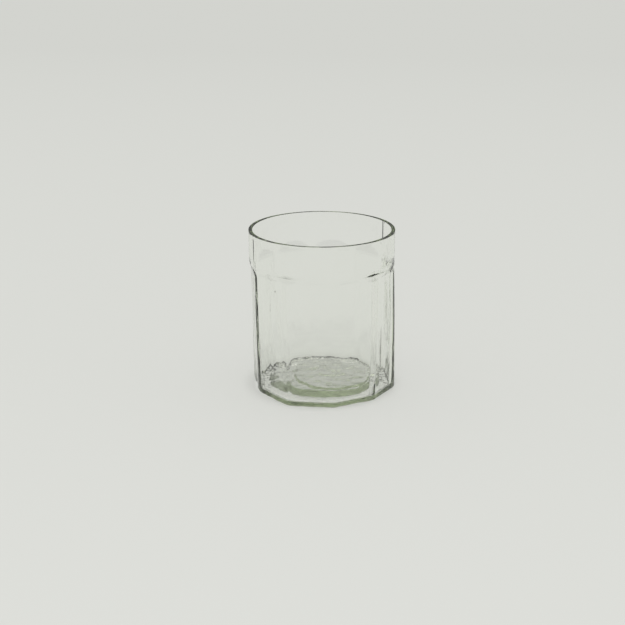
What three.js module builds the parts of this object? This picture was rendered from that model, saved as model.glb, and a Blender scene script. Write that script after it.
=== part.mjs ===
// A straight-sided drinking glass in pale green glass: a flat-sided body with softened edges under
// a round drinking band, a lip cut flat, and a thin base with a floor that stands higher in its middle.
// The real glass is one continuous piece. It is built here as the four zones that its mould forms,
// each one a closed solid that meets the next on a flat ring.
// Millimetres, +Z up, origin on the table under the middle of the base, with a facet facing -Y.
import * as THREE from "three";

// Driving dimensions of the whole glass
const HEIGHT = 89; // table to the top of the lip
const FACET_COUNT = 10; // flat sides round the body

// Round drinking band and lip
const COLLAR_RADIUS = 40; // outside of the band
const COLLAR_WALL = 2.1; // thickness of the band and of the lip
const COLLAR_HEIGHT = 13; // ledge to the foot of the lip
const LIP_HEIGHT = 3; // the zone at the mouth that is cut and polished
const LIP_ROUNDING = 0.3; // arrises beside the flat top of the lip

// Faceted wall, set back from the band
const FACET_SETBACK = 1.7; // band to the middle of a facet
const EDGE_ROUNDING = 7; // radius of the upright edge between two facets
const INNER_EDGE_ROUNDING = 5; // the blown inside follows the facets round the same edges
const WALL_AT_FOOT = 3; // glass behind a facet where it rises from the base
const WALL_AT_LEDGE = 2.3; // glass behind a facet at its top
const LEDGE_HEIGHT = 6.5; // soft slope that carries the facets out to the round band

// Base
const FLOOR_HEIGHT = 1.7; // table to the inside floor, round its raised middle
const MIDDLE_RISE = 3.7; // the flat middle of the floor stands higher by this
const MIDDLE_RADIUS = 21.5; // edge of the flat middle
const RISE_RADIUS = 28; // foot of the slope round the middle
const INNER_HEEL_ROUNDING = 1.2; // sweep from the inside floor up into the wall
const HEEL_ROUNDING = 0.8; // outside edge between the foot and the facets
const PUNT_RADIUS = 30; // shallow round hollow under the base
const PUNT_DEPTH = 0.5;
const PUNT_SIDE = 3; // width of the hollow's side, between its roof and the foot

// Fineness of the surfaces, in steps
const FLAT_STEPS = 6; // across the flat of a facet
const EDGE_STEPS = 4; // round the edge between two facets
const PUNT_STEPS = 5;
const HEEL_STEPS = 4;
const INNER_HEEL_STEPS = 5;
const RISE_STEPS = 6;
const LEDGE_STEPS = 8;
const LIP_STEPS = 4;

// Heights and insides that follow from the driving dimensions
const lipFoot = HEIGHT - LIP_HEIGHT;
const ledgeTop = lipFoot - COLLAR_HEIGHT;
const ledgeFoot = ledgeTop - LEDGE_HEIGHT;
const baseTop = FLOOR_HEIGHT + INNER_HEEL_ROUNDING;
const collarInside = COLLAR_RADIUS - COLLAR_WALL;
const facetApothem = COLLAR_RADIUS - FACET_SETBACK; // axis to the middle of a facet
const insideAtFoot = facetApothem - WALL_AT_FOOT;
const insideAtLedge = facetApothem - WALL_AT_LEDGE;

const QUARTER_TURN = Math.PI / 2;
const HALF_FACET = Math.PI / FACET_COUNT;

// Angle from the middle of a facet to the end of its flat, where the rounded edge begins.
function flatEnd(apothem, rounding) {
  return Math.atan(((apothem - rounding) * Math.tan(HALF_FACET)) / apothem);
}

// Radius at an angle from the middle of a facet, on a regular polygon with rounded corners.
// A rounding as large as the apothem makes the section a circle.
function sectionRadius(angle, apothem, rounding) {
  const fromMiddle = Math.abs(angle);
  if (fromMiddle <= flatEnd(apothem, rounding)) return apothem / Math.cos(fromMiddle);
  const fromCorner = HALF_FACET - fromMiddle;
  const cornerCentre = (apothem - rounding) / Math.cos(HALF_FACET);
  const across = cornerCentre * Math.sin(fromCorner);
  return cornerCentre * Math.cos(fromCorner) + Math.sqrt(rounding ** 2 - across ** 2);
}

// The angles of one ring of vertices, facet by facet: even steps across each flat, from its
// middle's own angle, and finer ones round the edge to the next flat.
function ringAngles() {
  const flat = flatEnd(facetApothem, EDGE_ROUNDING);
  const edge = HALF_FACET - flat;
  const angles = [];
  for (let facet = 0; facet < FACET_COUNT; facet++) {
    const middle = 2 * HALF_FACET * facet;
    for (let step = 0; step < FLAT_STEPS; step++) {
      const fromMiddle = flat * ((2 * step) / FLAT_STEPS - 1);
      angles.push({ turn: middle + fromMiddle, fromMiddle });
    }
    for (let step = 0; step < EDGE_STEPS; step++) {
      const pastFlat = (2 * edge * step) / EDGE_STEPS;
      const fromMiddle = pastFlat <= edge ? flat + pastFlat : pastFlat - edge - HALF_FACET;
      angles.push({ turn: middle + flat + pastFlat, fromMiddle });
    }
  }
  return angles;
}

const ANGLES = ringAngles();

// A ring of the profile: its height, its apothem and the rounding of its corners.
const round = (radius, z) => ({ z, apothem: radius, rounding: radius });
const faceted = (apothem, z) => ({ z, apothem, rounding: EDGE_ROUNDING });
const softened = (apothem, z) => ({ z, apothem, rounding: INNER_EDGE_ROUNDING });

// The ring part of the way up or down a slope from one ring to another, where share runs from
// 0 to 1. The slope eases in and out, so that it has no line at either end.
function slope(from, to, share) {
  const eased = THREE.MathUtils.smoothstep(share, 0, 1);
  return {
    z: THREE.MathUtils.lerp(from.z, to.z, share),
    apothem: THREE.MathUtils.lerp(from.apothem, to.apothem, eased),
    rounding: THREE.MathUtils.lerp(from.rounding, to.rounding, eased),
  };
}

// Rings at even shares from 0 to 1, both ends included.
function series(steps, ringAt) {
  return Array.from({ length: steps + 1 }, (_, step) => ringAt(step / steps));
}

// A body turned from a profile of rings, with each ring's circle reshaped to its own section.
function turned(rings) {
  const profile = rings.map((ring) => new THREE.Vector2(ring.apothem, ring.z));
  const geometry = new THREE.LatheGeometry(profile, ANGLES.length);
  const position = geometry.getAttribute("position");
  for (let i = 0; i < position.count; i++) {
    const { turn, fromMiddle } = ANGLES[Math.floor(i / rings.length) % ANGLES.length];
    const { z, apothem, rounding } = rings[i % rings.length];
    const radius = apothem > 0 ? sectionRadius(fromMiddle, apothem, rounding) : 0;
    position.setXYZ(i, radius * Math.sin(turn), -radius * Math.cos(turn), z);
  }
  geometry.computeVertexNormals();
  return geometry;
}

// Base: a shallow hollow underneath, a flat ring to stand on, a rounded heel, the feet of the
// facets, and inside them the sweep down to the floor and the slope up to its raised middle.
function base() {
  const floorRadius = insideAtFoot - INNER_HEEL_ROUNDING;
  const punt = series(PUNT_STEPS, (share) =>
    round(PUNT_RADIUS - PUNT_SIDE * (1 - share), PUNT_DEPTH * (1 - share ** 2)),
  );
  const heel = series(HEEL_STEPS, (share) => {
    const turn = share * QUARTER_TURN;
    return faceted(
      facetApothem - HEEL_ROUNDING * (1 - Math.sin(turn)),
      HEEL_ROUNDING * (1 - Math.cos(turn)),
    );
  });
  const sweep = series(INNER_HEEL_STEPS, (share) => {
    const turn = share * QUARTER_TURN;
    const apothem = floorRadius + INNER_HEEL_ROUNDING * Math.cos(turn);
    const z = baseTop - INNER_HEEL_ROUNDING * Math.sin(turn);
    return softened(apothem, z);
  });
  const middleTop = FLOOR_HEIGHT + MIDDLE_RISE;
  const rise = series(RISE_STEPS, (share) =>
    round(
      THREE.MathUtils.lerp(RISE_RADIUS, MIDDLE_RADIUS, share),
      FLOOR_HEIGHT + MIDDLE_RISE * THREE.MathUtils.smoothstep(share, 0, 1),
    ),
  );
  return turned([
    round(0, PUNT_DEPTH),
    ...punt,
    ...heel,
    faceted(facetApothem, baseTop),
    ...sweep,
    ...rise,
    round(0, middleTop),
  ]);
}

// Faceted wall: flat outside, faceted inside beside it, ending in the ledge that turns both round.
function facetedWall() {
  const outside = series(LEDGE_STEPS, (share) =>
    slope(faceted(facetApothem, ledgeFoot), round(COLLAR_RADIUS, ledgeTop), share),
  );
  const inside = series(LEDGE_STEPS, (share) =>
    slope(round(collarInside, ledgeTop), softened(insideAtLedge, ledgeFoot), share),
  );
  const foot = faceted(facetApothem, baseTop);
  return turned([foot, ...outside, ...inside, softened(insideAtFoot, baseTop), foot]);
}

// Round drinking band between the ledge and the lip.
function collar() {
  const foot = round(COLLAR_RADIUS, ledgeTop);
  return turned([
    foot,
    round(COLLAR_RADIUS, lipFoot),
    round(collarInside, lipFoot),
    round(collarInside, ledgeTop),
    foot,
  ]);
}

// Lip: the band's top, cut flat and polished, with both arrises rounded off.
function lip() {
  const rounding = Math.min(LIP_ROUNDING, COLLAR_WALL / 2);
  const foot = round(COLLAR_RADIUS, lipFoot);
  const outerArris = series(LIP_STEPS, (share) => {
    const turn = share * QUARTER_TURN;
    return round(
      COLLAR_RADIUS - rounding * (1 - Math.cos(turn)),
      HEIGHT - rounding * (1 - Math.sin(turn)),
    );
  });
  const innerArris = series(LIP_STEPS, (share) => {
    const turn = share * QUARTER_TURN;
    return round(
      collarInside + rounding * (1 - Math.sin(turn)),
      HEIGHT - rounding * (1 - Math.cos(turn)),
    );
  });
  return turned([foot, ...outerArris, ...innerArris, round(collarInside, lipFoot), foot]);
}

const paleGreenGlass = new THREE.MeshStandardMaterial({
  color: 0xd2dbcd,
  roughness: 0.04,
  metalness: 0,
  transparent: true,
  opacity: 0.35,
});

const glass = new THREE.Group();
const zones = { base: base(), faceted_wall: facetedWall(), round_collar: collar(), lip: lip() };
for (const [name, geometry] of Object.entries(zones)) {
  const mesh = new THREE.Mesh(geometry, paleGreenGlass);
  mesh.name = name;
  glass.add(mesh);
}

export default glass;
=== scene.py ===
"""A pale green drinking glass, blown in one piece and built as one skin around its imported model."""

import bpy
import numpy as np
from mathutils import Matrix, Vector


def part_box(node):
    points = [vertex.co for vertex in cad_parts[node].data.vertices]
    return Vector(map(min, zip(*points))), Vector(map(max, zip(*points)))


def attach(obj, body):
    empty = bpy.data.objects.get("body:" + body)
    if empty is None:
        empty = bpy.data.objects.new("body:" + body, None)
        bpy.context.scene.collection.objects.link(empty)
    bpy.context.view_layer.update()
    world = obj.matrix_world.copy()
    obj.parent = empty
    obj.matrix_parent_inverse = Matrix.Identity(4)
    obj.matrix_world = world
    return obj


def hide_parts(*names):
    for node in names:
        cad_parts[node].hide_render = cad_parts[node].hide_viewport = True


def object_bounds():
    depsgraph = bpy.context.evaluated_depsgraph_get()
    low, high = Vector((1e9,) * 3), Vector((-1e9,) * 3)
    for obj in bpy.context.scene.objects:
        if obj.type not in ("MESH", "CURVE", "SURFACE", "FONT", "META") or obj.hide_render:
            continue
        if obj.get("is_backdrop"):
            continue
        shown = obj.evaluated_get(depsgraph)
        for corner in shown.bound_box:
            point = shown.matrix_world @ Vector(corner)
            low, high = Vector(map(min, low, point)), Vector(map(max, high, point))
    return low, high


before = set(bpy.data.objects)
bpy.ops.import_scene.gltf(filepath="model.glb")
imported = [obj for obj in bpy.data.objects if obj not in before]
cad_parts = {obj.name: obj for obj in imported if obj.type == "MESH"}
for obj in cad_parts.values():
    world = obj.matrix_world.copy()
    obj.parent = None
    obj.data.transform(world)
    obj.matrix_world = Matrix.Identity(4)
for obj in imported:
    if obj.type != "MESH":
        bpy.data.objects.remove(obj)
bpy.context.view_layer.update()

# The camera
# It stands where the photograph was taken from, fitted to the rim and to the corners of the base.
IMAGE_SIDE = 625
FOCAL_PIXELS = 1230
SENSOR_WIDTH = 36
DISTANCE = 0.684
AZIMUTH = np.radians(9.7)
ELEVATION = np.radians(18.0)
MIDDLE_PIXEL = (321.8, 305.9)
camera_data = bpy.data.cameras.new("camera")
camera_data.sensor_width = SENSOR_WIDTH
camera_data.lens = SENSOR_WIDTH * FOCAL_PIXELS / IMAGE_SIDE
camera_data.shift_x = 0.5 - MIDDLE_PIXEL[0] / IMAGE_SIDE
camera_data.shift_y = MIDDLE_PIXEL[1] / IMAGE_SIDE - 0.5
camera = bpy.data.objects.new("camera", camera_data)
bpy.context.scene.collection.objects.link(camera)
lip_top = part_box("lip")[1].z
to_camera = np.array(
    [
        np.sin(AZIMUTH) * np.cos(ELEVATION),
        -np.cos(AZIMUTH) * np.cos(ELEVATION),
        np.sin(ELEVATION),
    ]
)
camera.location = DISTANCE * to_camera + np.array([0, 0, lip_top / 2])
camera.rotation_euler = (np.pi / 2 - ELEVATION, 0, AZIMUTH)
bpy.context.scene.camera = camera
bpy.context.scene.view_settings.view_transform = "Standard"

# The base
# The thin bottom of the blown glass: a shallow hollow inside a flat ring to stand on, a small heel, and
# a floor that sweeps up into the wall. The skin of the glass, below, raises the middle of the floor.
PUNT_RADIUS = 0.030
PUNT_SIDE = 0.003
PUNT_DEPTH = 0.0005
HEEL_ROUNDING = 0.0008
FLOOR_HEIGHT = 0.0017
SWEEP_ROUNDING = 0.0012
WALL_AT_FOOT = 0.003
EDGE_ROUNDING = 0.007
INSIDE_ROUNDING = 0.005
TROUGH_END = 0.032
SLOPE_END = 0.016
ROOF_RINGS, SIDE_RINGS, HEEL_RINGS, SWEEP_RINGS = 6, 8, 8, 16
TROUGH_RINGS, SLOPE_RINGS, MIDDLE_RINGS = 8, 58, 16
facet_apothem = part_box("base")[1].y
inside_at_foot = facet_apothem - WALL_AT_FOOT
floor_radius = inside_at_foot - SWEEP_ROUNDING
sweep_top = FLOOR_HEIGHT + SWEEP_ROUNDING


def rings(height, apothem, rounding):
    """Rows of height, apothem and corner rounding, one for each ring of the skin."""
    return np.column_stack(np.broadcast_arrays(height, apothem, rounding))


def inner_shares(count):
    """Even shares between 0 and 1, without the two ends."""
    return np.linspace(0, 1, count + 2)[1:-1]


roof_reach = (PUNT_RADIUS - PUNT_SIDE) * inner_shares(ROOF_RINGS)
roof = rings(PUNT_DEPTH, roof_reach, roof_reach)
share = np.linspace(0, 1, SIDE_RINGS)
side_reach = PUNT_RADIUS - PUNT_SIDE * (1 - share)
punt_side = rings(PUNT_DEPTH * (1 - share**2), side_reach, side_reach)
bend = np.linspace(0, np.pi / 2, HEEL_RINGS)
heel = rings(
    HEEL_ROUNDING * (1 - np.cos(bend)),
    facet_apothem - HEEL_ROUNDING * (1 - np.sin(bend)),
    EDGE_ROUNDING,
)
bend = np.linspace(0, np.pi / 2, SWEEP_RINGS)
sweep = rings(
    sweep_top - SWEEP_ROUNDING * np.sin(bend),
    floor_radius + SWEEP_ROUNDING * np.cos(bend),
    INSIDE_ROUNDING,
)
share = inner_shares(TROUGH_RINGS)
trough = rings(
    FLOOR_HEIGHT,
    floor_radius + (TROUGH_END - floor_radius) * share,
    INSIDE_ROUNDING + (TROUGH_END - INSIDE_ROUNDING) * share,
)
slope_reach = np.linspace(TROUGH_END, SLOPE_END, SLOPE_RINGS)
slope = rings(FLOOR_HEIGHT, slope_reach, slope_reach)
middle_reach = SLOPE_END * (1 - inner_shares(MIDDLE_RINGS))
middle = rings(FLOOR_HEIGHT, middle_reach, middle_reach)

# The faceted wall
# The mould's flat sides, with upright edges that the stiff glass only half fills. The blown inside runs
# beside them, and a soft ledge carries both out to the round band above.
WALL_AT_LEDGE = 0.0023
LEDGE_HEIGHT = 0.0065
COLLAR_WALL = 0.0021
OUTSIDE_RINGS, INSIDE_RINGS, LEDGE_RINGS = 24, 34, 16
collar_low, collar_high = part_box("round_collar")
collar_radius = collar_high.x
collar_inside = collar_radius - COLLAR_WALL
ledge_top = collar_low.z
ledge_foot = ledge_top - LEDGE_HEIGHT
inside_at_ledge = facet_apothem - WALL_AT_LEDGE


def eased(share):
    """Share that starts and ends level: three times its square, less twice its cube."""
    return share**2 * (3 - 2 * share)


share = inner_shares(OUTSIDE_RINGS)
wall_outside = rings(
    HEEL_ROUNDING + (ledge_foot - HEEL_ROUNDING) * share, facet_apothem, EDGE_ROUNDING
)
share = inner_shares(INSIDE_RINGS)
wall_inside = rings(
    ledge_foot + (sweep_top - ledge_foot) * share,
    inside_at_ledge + (inside_at_foot - inside_at_ledge) * share,
    INSIDE_ROUNDING,
)
share = np.linspace(0, 1, LEDGE_RINGS)
ease = eased(share)
ledge_outside = rings(
    ledge_foot + LEDGE_HEIGHT * share,
    facet_apothem + (collar_radius - facet_apothem) * ease,
    EDGE_ROUNDING + (collar_radius - EDGE_ROUNDING) * ease,
)
ledge_inside = rings(
    ledge_top - LEDGE_HEIGHT * share,
    collar_inside + (inside_at_ledge - collar_inside) * ease,
    collar_inside + (INSIDE_ROUNDING - collar_inside) * ease,
)

# The round collar and the lip
# The drinking band, blown round above the ledge, and its mouth, cut flat and polished with the two
# arrises just taken off.
ARRIS = 0.00025
COLLAR_RINGS, ARRIS_RINGS = 10, 7
lip_shoulder = lip_top - ARRIS

share = inner_shares(COLLAR_RINGS)
collar_outside = rings(ledge_top + (lip_shoulder - ledge_top) * share, collar_radius, collar_radius)
collar_skin = rings(lip_shoulder + (ledge_top - lip_shoulder) * share, collar_inside, collar_inside)
bend = np.linspace(0, np.pi / 2, ARRIS_RINGS)
outer_arris = collar_radius - ARRIS * (1 - np.cos(bend))
inner_arris = collar_inside + ARRIS * (1 - np.sin(bend))
lip = np.concatenate(
    [
        rings(lip_shoulder + ARRIS * np.sin(bend), outer_arris, outer_arris),
        rings(lip_shoulder + ARRIS * np.cos(bend), inner_arris, inner_arris),
    ]
)

# The skin of the glass
# One closed surface over all the zones, from the middle of the hollow out, up, over the lip and down to
# the middle of the floor. It is blown by mouth: it leans, its sides differ and no wall is quite even.
FACETS = 10
ANGLES = 400
EDGE_CLUSTER = 0.8

# The upright edges differ, here in order round the glass from the front, first to the right. The inside's
# softness changes above the foot of the ledge. Pairs like this fade run from none to full.
LEDGE_SOFTNESS = np.array([1, 1.1, 0.8, 1, 1, 1, 1, 1, 1, 1.8])
WALL_SOFTNESS = np.array([1, 2.5, 2.2, 1, 1, 1, 1, 1, 0.3, 1.8])
FOOT_SOFTNESS = np.array([1, 1.8, 2.2, 1, 1, 1, 1, 1, 0.3, 1.8])
LEDGE_FADE = (0.0045, 0.001)
LEDGE_DRIFT = np.radians([0, 3, 1, 0, 0, 0, 0, 0, -0.5, -3])
FOOT_DRIFT = np.radians([0, -0.8, -2, 0, 0, 0, 0, 0, -3, 0])
FOOT_REACH = np.array([-6e-4, -8e-4, 5e-4, 0, 0, 0, 0, 0, -12e-4, 10e-4])

# The body leans below the round band, and its wall is thicker at the foot behind.
LEAN_RIGHT = 0.001
LEAN_FORWARD = 0.001
THICK_BEHIND = 0.0012
THICK_FADE = (0.012, 0.002)

# Waves in the wall and the heel, and the heights between which they come and go.
STREAKS = [(1e-5, 61, 30, 0.4), (1e-5, 89, -50, 2.0), (1.5e-5, 37, 20, 4.1), (6e-6, 131, 40, 1.0)]
SWELLS = [(1.2e-4, 7, 50, 0.3), (1e-4, 13, -70, 1.9), (8e-5, 19, 110, 3.7)]
SWELL_FOOT, SWELL_TOP = (0.005, 0.025), (0.085, 0.073)
OUTER_SWELL, OUTER_PHASE, OUTER_TOP = 0.5, 1, (0.080, 0.068)
HEEL_WAVES = [(1e-4, 23, 0, 1.2), (8e-5, 37, 0, 2.9), (6e-5, 59, 0, 0.6)]
HEEL_FADE = (0.005, 0)

# Upright creases inside the mouth: turn in degrees, lower end, upper end, size and half width. Each one
# comes up over one length at its foot, and dies away over another at its top.
CREASED = ["collar_skin", "ledge_inside", "lip"]
CREASES = [(125.6, 0.075, 0.0895, 4e-4, 2.5e-4), (300.0, 0.066, 0.087, -1.2e-4, 6e-4)]
CREASE_FOOT, CREASE_TOP = 0.003, 0.001

# The floor's raised middle: a slope that is wider at the left, and a small step on top of it that lies to
# the right. Both have an uneven edge.
LOWER_RISE = 0.0028
SLOPE_FOOT = 0.0293
SLOPE_STRETCH = 0.0018
SLOPE_WIDTH = 0.0022
LEFT_SPREAD = 0.004
LEFT_FADE = (0.2, -1)
UPPER_RISE = 0.0009
STEP_WIDTH = 0.0008
MIDDLE_RADIUS = 0.0225
MIDDLE_SQUEEZE = 0.0007
MIDDLE_SHIFT = 0.0055
EDGE_WAVES = [(4e-4, 5, 0, 0.5), (3e-4, 11, 0, 2.2), (2e-4, 17, 0, 4.0), (1.5e-4, 29, 0, 1.1)]
SLOPE_PHASE = 2

# Mottles over the floor, as phase for each metre across, phase for each metre along, and start. Wrinkles
# round the floor's edge come in between two heights and between two distances from the axis.
MOTTLES = [(1300, 700, 0), (800, -1500, 1), (2100, 400, 2), (500, 2300, 3)]
MOTTLE_SIZE = 2e-5
WRINKLES = [(8e-5, 71, 300, 0.3), (1e-4, 47, -500, 1.4), (5e-5, 103, 200, 3.0)]
WRINKLE_HEIGHTS, WRINKLE_REACHES = (0.006, 0.003), (0.027, 0.031)
WRINKLES_AT_SIDES, WRINKLES_MORE_BEHIND = 0.7, 0.3


def section_radius(from_middle, apothem, rounding):
    """Radius of a regular polygon with rounded corners at an angle from the middle of a side.

    On the flat it is the apothem over the cosine of the angle. Past the flat it is the far crossing
    with a circle of the rounding's radius, which sits on the line to the corner.
    """
    half_side = np.pi / FACETS
    corner_centre = (apothem - rounding) / np.cos(half_side)
    flat_end = np.arctan2((apothem - rounding) * np.tan(half_side), apothem)
    on_flat = apothem / np.cos(from_middle)
    from_corner = half_side - np.abs(from_middle)
    across = corner_centre * np.sin(from_corner)
    on_edge = corner_centre * np.cos(from_corner)
    on_edge = on_edge + np.sqrt(np.maximum(rounding**2 - across**2, 0))
    return np.where(np.abs(from_middle) <= flat_end, on_flat, on_edge)


def waves(turn, height, rows):
    """Sum of sine waves over the skin, one for each row.

    A row holds the wave's size, its whole number of crests round the glass, its change of phase for
    each metre up the glass and its start, so the sum closes on itself round the glass.
    """
    return sum(
        size * np.sin(crests * turn + climb * height + start) for size, crests, climb, start in rows
    )


def between(value, low, high):
    """Share of the way from low to high, held at 0 before low and at 1 past high."""
    return np.clip((value - low) / (high - low), 0, 1)


def by_edge(turn, values):
    """Value at each turn, on a straight line between those of the two nearest upright edges."""
    edge_turn = (np.arange(FACETS) + 0.5) * 2 * np.pi / FACETS
    return np.interp(turn, edge_turn, values, period=2 * np.pi)


def grid_faces(row_count, steps):
    """Faces of a grid of vertices whose rows close on themselves, four corners to a face."""
    row, step = np.meshgrid(np.arange(row_count - 1), np.arange(steps), indexing="ij")
    here = row * steps + step
    beside = row * steps + (step + 1) % steps
    return np.stack([here, beside, beside + steps, here + steps], axis=-1).reshape(-1, 4)


def fan_faces(pole, row_start, steps):
    """Faces from one vertex to each step of a row of vertices that closes on itself."""
    step = np.arange(steps)
    beside = (step + 1) % steps
    return np.stack([np.full(steps, pole), row_start + step, row_start + beside], axis=-1)


zones = {
    "roof": roof,
    "punt_side": punt_side,
    "heel": heel,
    "wall_outside": wall_outside,
    "ledge_outside": ledge_outside,
    "collar_outside": collar_outside,
    "lip": lip,
    "collar_skin": collar_skin,
    "ledge_inside": ledge_inside,
    "wall_inside": wall_inside,
    "sweep": sweep,
    "trough": trough,
    "slope": slope,
    "middle": middle,
}
profile = np.concatenate(list(zones.values()))
zone_of = np.repeat(list(zones), [len(zone) for zone in zones.values()])[:, None]
outside = np.isin(zone_of, ["heel", "wall_outside", "ledge_outside"])
inside = np.isin(zone_of, ["ledge_inside", "wall_inside", "sweep"])
floor = np.isin(zone_of, ["trough", "slope", "middle"])
creased = np.isin(zone_of, CREASED)

# The sections of the skin, with their angles closer together at the upright edges
even = np.linspace(0, 2 * np.pi, ANGLES, endpoint=False)
turn = (even + EDGE_CLUSTER * np.sin(FACETS * even) / FACETS)[None, :]
side = 2 * np.pi / FACETS
edge = np.floor(turn / side).astype(int) % FACETS
from_middle = (turn + side / 2) % side - side / 2
height, apothem, rounding = profile.T[:, :, None]
below_ledge = between(height - ledge_foot, *LEDGE_FADE)
low_down = between(height, ledge_foot, 0)
softness = LEDGE_SOFTNESS[edge] + below_ledge * (WALL_SOFTNESS - LEDGE_SOFTNESS)[edge]
softness = softness + low_down * (FOOT_SOFTNESS - WALL_SOFTNESS)[edge]
softness = np.where(inside, softness, 1)
rounding = np.minimum(rounding * softness, apothem)
radius = section_radius(from_middle, apothem, rounding)

# The waves and creases of the wall
swelling = between(height, *SWELL_FOOT) * between(height, *SWELL_TOP)
outer_swelling = OUTER_SWELL * between(height, *OUTER_TOP)
radius = radius + inside * waves(turn, height, STREAKS)
radius = radius + inside * swelling * waves(turn, height, SWELLS)
radius = radius + outside * outer_swelling * waves(turn + OUTER_PHASE, height, SWELLS)
radius = radius + outside * between(height, *HEEL_FADE) * waves(turn, height, HEEL_WAVES)
for degrees, low, high, size, width in CREASES:
    ridge = np.exp(-(((turn - np.radians(degrees)) * collar_radius / width) ** 2))
    ridge = ridge * between(height, low, low + CREASE_FOOT) * between(height, high, high - CREASE_TOP)
    radius = radius + creased * size * ridge

# The drift and reach of the upright edges, and the thicker wall behind
flat_sided = (inside | outside) * (1 - between(height, ledge_foot, ledge_top))
flat_sided = flat_sided + floor * between(apothem, TROUGH_END, floor_radius)
drift = low_down * by_edge(turn, FOOT_DRIFT) + (1 - low_down) * by_edge(turn, LEDGE_DRIFT)
radius = radius + flat_sided * low_down * by_edge(turn, FOOT_REACH)
radius = radius - inside * between(height, *THICK_FADE) * THICK_BEHIND * (1 - np.cos(turn)) / 2
across = radius * np.sin(turn + flat_sided * drift)
along = -radius * np.cos(turn + flat_sided * drift)

# The floor's raised middle, mottles and wrinkles
to_right = np.sin(turn - AZIMUTH)
to_sides = np.cos(2 * (turn - AZIMUTH))
slope_foot = SLOPE_FOOT - SLOPE_STRETCH * to_sides
slope_top = slope_foot - SLOPE_WIDTH - LEFT_SPREAD * between(to_right, *LEFT_FADE) ** 2
slope_top = slope_top + waves(turn + SLOPE_PHASE, 0, EDGE_WAVES)
step_foot = MIDDLE_RADIUS + MIDDLE_SQUEEZE * to_sides + MIDDLE_SHIFT * to_right
step_foot = step_foot + waves(turn, 0, EDGE_WAVES)
height = height + floor * LOWER_RISE * eased(between(radius, slope_foot, slope_top))
height = height + floor * UPPER_RISE * eased(between(radius, step_foot, step_foot - STEP_WIDTH))
mottle = sum(
    np.sin(rate_across * across + rate_along * along + start)
    for rate_across, rate_along, start in MOTTLES
)
height = height + floor * MOTTLE_SIZE * mottle
at_edge = (inside | floor) * between(height, *WRINKLE_HEIGHTS) * between(radius, *WRINKLE_REACHES)
wrinkling = WRINKLES_AT_SIDES - WRINKLES_MORE_BEHIND * np.cos(turn)
height = height + at_edge * wrinkling * waves(turn, radius, WRINKLES)

# The lean, and the faces between the rings, with a fan to close each end
lean = between(height, ledge_top, 0)
across = across + lean * (LEAN_RIGHT * np.cos(AZIMUTH) + LEAN_FORWARD * np.sin(AZIMUTH))
along = along + lean * (LEAN_RIGHT * np.sin(AZIMUTH) - LEAN_FORWARD * np.cos(AZIMUTH))
points = np.stack([across, along, height], axis=-1)
poles = points[[0, -1]].mean(axis=1)
vertices = np.concatenate([points.reshape(-1, 3), poles])
ring_count = len(profile)
under = ring_count * ANGLES
faces = grid_faces(ring_count, ANGLES).tolist()
faces = faces + fan_faces(under, 0, ANGLES)[:, ::-1].tolist()
faces = faces + fan_faces(under + 1, (ring_count - 1) * ANGLES, ANGLES).tolist()

# The seeds in the glass
# Small bubbles of air that stayed in the wall. Each is a closed skin of its own within the glass, and
# faces its own inside, because the glass lies around it.
SEED_ROWS, SEED_STEPS = 7, 12
SEED_STRETCH = 1.5

# Turn in degrees, then reach from the axis, height and half width
SEEDS = [
    (329.2, 0.0371, 0.0618, 0.00035),
    (322.5, 0.0370, 0.0532, 0.00022),
    (322.4, 0.0370, 0.0504, 0.00025),
    (324.2, 0.0370, 0.0674, 0.00020),
]
tilt = np.pi * inner_shares(SEED_ROWS)[:, None]
around = np.linspace(0, 2 * np.pi, SEED_STEPS, endpoint=False)[None, :]
ball = np.broadcast_arrays(
    np.sin(tilt) * np.cos(around), np.sin(tilt) * np.sin(around), SEED_STRETCH * np.cos(tilt)
)
ball = np.stack(ball, axis=-1).reshape(-1, 3)
ball = np.concatenate([ball, [[0, 0, SEED_STRETCH], [0, 0, -SEED_STRETCH]]])
ball_top = SEED_ROWS * SEED_STEPS
ball_quads = grid_faces(SEED_ROWS, SEED_STEPS)
ball_fans = np.concatenate(
    [
        fan_faces(ball_top, 0, SEED_STEPS)[:, ::-1],
        fan_faces(ball_top + 1, (SEED_ROWS - 1) * SEED_STEPS, SEED_STEPS),
    ]
)
for degrees, reach, rise, half_width in SEEDS:
    seed_turn = np.radians(degrees)
    centre = np.array([reach * np.sin(seed_turn), -reach * np.cos(seed_turn), rise])
    first = len(vertices)
    vertices = np.concatenate([vertices, centre + half_width * ball])
    faces = faces + (first + ball_quads).tolist() + (first + ball_fans).tolist()

mesh = bpy.data.meshes.new("glass_body")
mesh.from_pydata(vertices.tolist(), [], faces)
mesh.validate()
mesh.shade_smooth()
glass = bpy.data.objects.new("glass_body", mesh)
bpy.context.scene.collection.objects.link(glass)

# The green glass
# Pale green soda-lime glass: clear, with the tint of iron in the sand, which deepens with the way that
# light takes through it. The underside keeps the matt and blotched skin of the mould.
CLEAR = (1, 1, 1, 1)
GLASS_IOR = 1.5
TINT = (0.894, 0.925, 0.842, 1)
TINT_DENSITY = 78
UNDERSIDE_TOP = 0.0006
UNDERSIDE_REACH = 0.031
GRAIN_SCALE, GRAIN_DETAIL = 320, 3
POLISH_ROUGHNESS = (0, 0.02)
MATT_GRAIN, MATT_ROUGHNESS = (0.3, 0.7), (0, 0.2)
BLOTCH_SCALE, BLOTCH_DETAIL = 150, 0.5
BLOTCH_RELIEF = 40
RELIEF_STRENGTH, RELIEF_DEPTH = 0.2, 0.0001


def feed(tree, value, slot):
    """Link a socket to a node's input, or set the input to a plain value."""
    if isinstance(value, bpy.types.NodeSocket):
        tree.links.new(value, slot)
    else:
        slot.default_value = value


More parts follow.
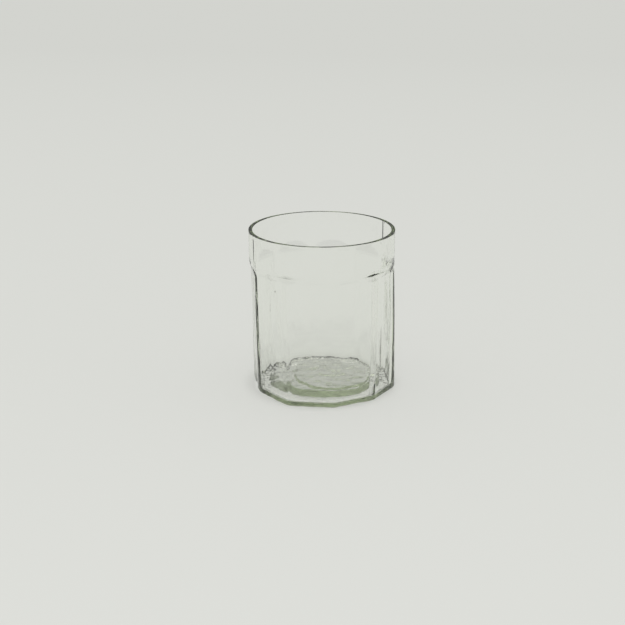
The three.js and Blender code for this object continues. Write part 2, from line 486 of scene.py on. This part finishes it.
def maths(tree, operation, first, second):
    """Result of one operation on two inputs, each a socket or a number."""
    node = tree.nodes.new("ShaderNodeMath")
    node.operation = operation
    feed(tree, first, node.inputs[0])
    feed(tree, second, node.inputs[1])
    return node.outputs[0]


def mapped(tree, value, source, target=(0, 1), smooth=False):
    """Value carried from one range over to another, and held at both ends."""
    node = tree.nodes.new("ShaderNodeMapRange")
    node.interpolation_type = "SMOOTHSTEP" if smooth else "LINEAR"
    tree.links.new(value, node.inputs["Value"])
    for name, limit in zip(("From Min", "From Max", "To Min", "To Max"), (*source, *target)):
        node.inputs[name].default_value = limit
    return node.outputs[0]


def noise(tree, place, scale, detail):
    """Value of a noise pattern at a place."""
    node = tree.nodes.new("ShaderNodeTexNoise")
    node.inputs["Scale"].default_value = scale
    node.inputs["Detail"].default_value = detail
    tree.links.new(place, node.inputs["Vector"])
    return node.outputs["Fac"]


def split(tree, vector):
    """The three parts of a vector, by their names X, Y and Z."""
    node = tree.nodes.new("ShaderNodeSeparateXYZ")
    tree.links.new(vector, node.inputs[0])
    return node.outputs


def length(tree, vector):
    """Length of a vector."""
    node = tree.nodes.new("ShaderNodeVectorMath")
    node.operation = "LENGTH"
    tree.links.new(vector, node.inputs[0])
    return node.outputs["Value"]


green_glass = bpy.data.materials.new("pale_green_glass")
green_glass.use_nodes = True
tree = green_glass.node_tree
shader = tree.nodes["Principled BSDF"]
shader.inputs["Base Color"].default_value = CLEAR
shader.inputs["IOR"].default_value = GLASS_IOR
shader.inputs["Transmission Weight"].default_value = 1.0
place = tree.nodes.new("ShaderNodeTexCoord").outputs["Object"]
level = tree.nodes.new("ShaderNodeVectorMath")
level.operation = "MULTIPLY"
level.inputs[1].default_value = (1, 1, 0)
tree.links.new(place, level.inputs[0])
near_table = maths(tree, "LESS_THAN", split(tree, place)["Z"], UNDERSIDE_TOP)
near_axis = maths(tree, "LESS_THAN", length(tree, level.outputs[0]), UNDERSIDE_REACH)
underside = maths(tree, "MULTIPLY", near_table, near_axis)
grain = noise(tree, place, GRAIN_SCALE, GRAIN_DETAIL)
finish = tree.nodes.new("ShaderNodeMix")
tree.links.new(underside, finish.inputs["Factor"])
tree.links.new(mapped(tree, grain, (0, 1), POLISH_ROUGHNESS), finish.inputs["A"])
tree.links.new(mapped(tree, grain, MATT_GRAIN, MATT_ROUGHNESS), finish.inputs["B"])
tree.links.new(finish.outputs["Result"], shader.inputs["Roughness"])
blotches = maths(tree, "MULTIPLY", noise(tree, place, BLOTCH_SCALE, BLOTCH_DETAIL), underside)
relief = maths(tree, "ADD", maths(tree, "MULTIPLY", blotches, BLOTCH_RELIEF), grain)
ripple = tree.nodes.new("ShaderNodeBump")
ripple.inputs["Strength"].default_value = RELIEF_STRENGTH
ripple.inputs["Distance"].default_value = RELIEF_DEPTH
tree.links.new(relief, ripple.inputs["Height"])
tree.links.new(ripple.outputs["Normal"], shader.inputs["Normal"])
tint = tree.nodes.new("ShaderNodeVolumeAbsorption")
tint.inputs["Color"].default_value = TINT
tint.inputs["Density"].default_value = TINT_DENSITY
tree.links.new(tint.outputs["Volume"], tree.nodes["Material Output"].inputs["Volume"])
mesh.materials.append(green_glass)
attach(glass, "root")
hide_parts("base", "faceted_wall", "round_collar", "lip")

# The floor
# A pale flat sheet of paper that reaches past the view. Part of its tone is its own glow for the camera
# and the glass, so the shadow stays faint. It glows less under the glass and in a ring round its foot, so
# that more of the shadow shows
# there: painted shade under the glass and a painted contact shadow round its foot.
# Painted falloff of light: the paper is paler near the camera and dimmer far back. This is not the paper's
# own colour.
NEAR_LIT_TONE = (0.74, 0.748, 0.712, 1)
MIDDLE_LIT_TONE = (0.705, 0.713, 0.677, 1)
FAR_DIM_TONE = (0.65, 0.657, 0.623, 1)
PAPER_LIGHT_FALLOFF = [(0.0, NEAR_LIT_TONE), (0.2, MIDDLE_LIT_TONE), (1.0, FAR_DIM_TONE)]
FALLOFF_DEPTHS = (-0.4, 1.6)
PAPER_ROUGHNESS = 0.9
# The lower glow amounts paint shade under the glass and a contact shadow in a ring round its foot
GLOW_WITH_PAINTED_SHADOW = [(0.022, 0.5), (0.032, 0.75), (0.037, 0.75), (0.0385, 0.35), (0.046, 0.75)]
GLOW_REACH = 0.05
FLOOR_GAP = 0.0002
FLOOR_REACH = 6.0


def ramp(tree, share, stops):
    """Colour at a share of the way along a row of stops, each a position and a colour."""
    node = tree.nodes.new("ShaderNodeValToRGB")
    for _ in stops[2:]:
        node.color_ramp.elements.new(0.5)
    for stop, (position, colour) in zip(node.color_ramp.elements, stops):
        stop.position = position
        stop.color = colour
    tree.links.new(share, node.inputs["Fac"])
    return node.outputs["Color"]


def seen_rays(tree):
    """Socket that is 1 for rays from the camera, off the glass or through it, and 0 for others."""
    path = tree.nodes.new("ShaderNodeLightPath").outputs
    seen = maths(tree, "MAXIMUM", path["Is Camera Ray"], path["Is Glossy Ray"])
    return maths(tree, "MAXIMUM", seen, path["Is Transmission Ray"])


paper_mesh = bpy.data.meshes.new("paper")
corners = FLOOR_REACH * np.array([[-1, -1], [1, -1], [1, 1], [-1, 1]])
corners = np.column_stack([corners, np.full(len(corners), -FLOOR_GAP)])
paper_mesh.from_pydata(corners.tolist(), [], [[0, 1, 2, 3]])
paper = bpy.data.objects.new("paper", paper_mesh)
bpy.context.scene.collection.objects.link(paper)
paper_finish = bpy.data.materials.new("paper")
paper_finish.use_nodes = True
tree = paper_finish.node_tree
shader = tree.nodes["Principled BSDF"]
shader.inputs["Roughness"].default_value = PAPER_ROUGHNESS
shader.inputs["Specular IOR Level"].default_value = 0.0
place = tree.nodes.new("ShaderNodeTexCoord").outputs["Object"]
# The paper's colour follows its painted falloff of light from front to back
lit_tone = ramp(tree, mapped(tree, split(tree, place)["Y"], FALLOFF_DEPTHS), PAPER_LIGHT_FALLOFF)
tree.links.new(lit_tone, shader.inputs["Base Color"])
glow = tree.nodes.new("ShaderNodeEmission")
tree.links.new(lit_tone, glow.inputs["Color"])
glow_and_shadow_stops = [(distance / GLOW_REACH, (amount, amount, amount, 1)) for distance, amount in GLOW_WITH_PAINTED_SHADOW]
# Glow by distance from the axis. It is lower where it paints shade under the glass and a contact shadow
# round its foot.
glow_and_shadow_here = ramp(tree, mapped(tree, length(tree, place), (0, GLOW_REACH)), glow_and_shadow_stops)
blend = tree.nodes.new("ShaderNodeMixShader")
tree.links.new(maths(tree, "MULTIPLY", seen_rays(tree), glow_and_shadow_here), blend.inputs["Fac"])
tree.links.new(shader.outputs["BSDF"], blend.inputs[1])
tree.links.new(glow.outputs["Emission"], blend.inputs[2])
tree.links.new(blend.outputs["Shader"], tree.nodes["Material Output"].inputs["Surface"])
paper_mesh.materials.append(paper_finish)
paper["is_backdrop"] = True

# The light
# White light from all round falls on the paper. Past the paper's end the camera sees its tones go on, also
# through the glass. The glass mirrors a dim far wall, a bright ceiling above it and a dark room elsewhere.
DAYLIGHT = (1, 1, 1, 1)
FAR_WALL = (0.3, 0.303, 0.288, 1)
CEILING = (1.0, 1.0, 0.96, 1)
CEILING_START = (0.3, 0.6)
ROOM = (0.03, 0.03, 0.03, 1)
ROOM_START = (-0.8, -0.2)
LIGHT_BOUNCES = 48
MIRROR_BOUNCES = 10

# A ray's count of bounces is none when it is less than this
FIRST_BOUNCE = 0.5


def mixed(tree, share, first, second):
    """Colour part of the way from one to another, each a socket or a plain colour."""
    node = tree.nodes.new("ShaderNodeMixRGB")
    tree.links.new(share, node.inputs["Fac"])
    feed(tree, first, node.inputs["Color1"])
    feed(tree, second, node.inputs["Color2"])
    return node.outputs["Color"]


world = bpy.data.worlds.new("studio")
bpy.context.scene.world = world
world.use_nodes = True
tree = world.node_tree
direction = tree.nodes.new("ShaderNodeTexCoord").outputs["Generated"]
aim = tree.nodes.new("ShaderNodeVectorMath")
aim.operation = "DOT_PRODUCT"
aim.inputs[1].default_value = (np.sin(AZIMUTH), -np.cos(AZIMUTH), 0)
tree.links.new(direction, aim.inputs[0])
off_far_wall = mapped(tree, aim.outputs["Value"], ROOM_START, smooth=True)
overhead = mapped(tree, split(tree, direction)["Z"], CEILING_START, smooth=True)
mirrored = mixed(tree, off_far_wall, mixed(tree, overhead, FAR_WALL, CEILING), ROOM)
# The backdrop past the paper carries on the paper's painted falloff of light
backdrop = mixed(tree, off_far_wall, FAR_DIM_TONE, NEAR_LIT_TONE)
path = tree.nodes.new("ShaderNodeLightPath").outputs
not_mirrored = maths(tree, "LESS_THAN", path["Glossy Depth"], FIRST_BOUNCE)
surroundings = mixed(tree, not_mirrored, mirrored, backdrop)
not_off_paper = maths(tree, "LESS_THAN", path["Diffuse Depth"], FIRST_BOUNCE)
shows_surroundings = maths(tree, "MULTIPLY", seen_rays(tree), not_off_paper)
light = mixed(tree, shows_surroundings, DAYLIGHT, surroundings)
tree.links.new(light, tree.nodes["Background"].inputs["Color"])
bpy.context.scene.cycles.max_bounces = LIGHT_BOUNCES
bpy.context.scene.cycles.glossy_bounces = MIRROR_BOUNCES
bpy.context.scene.cycles.transmission_bounces = LIGHT_BOUNCES

low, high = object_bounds()
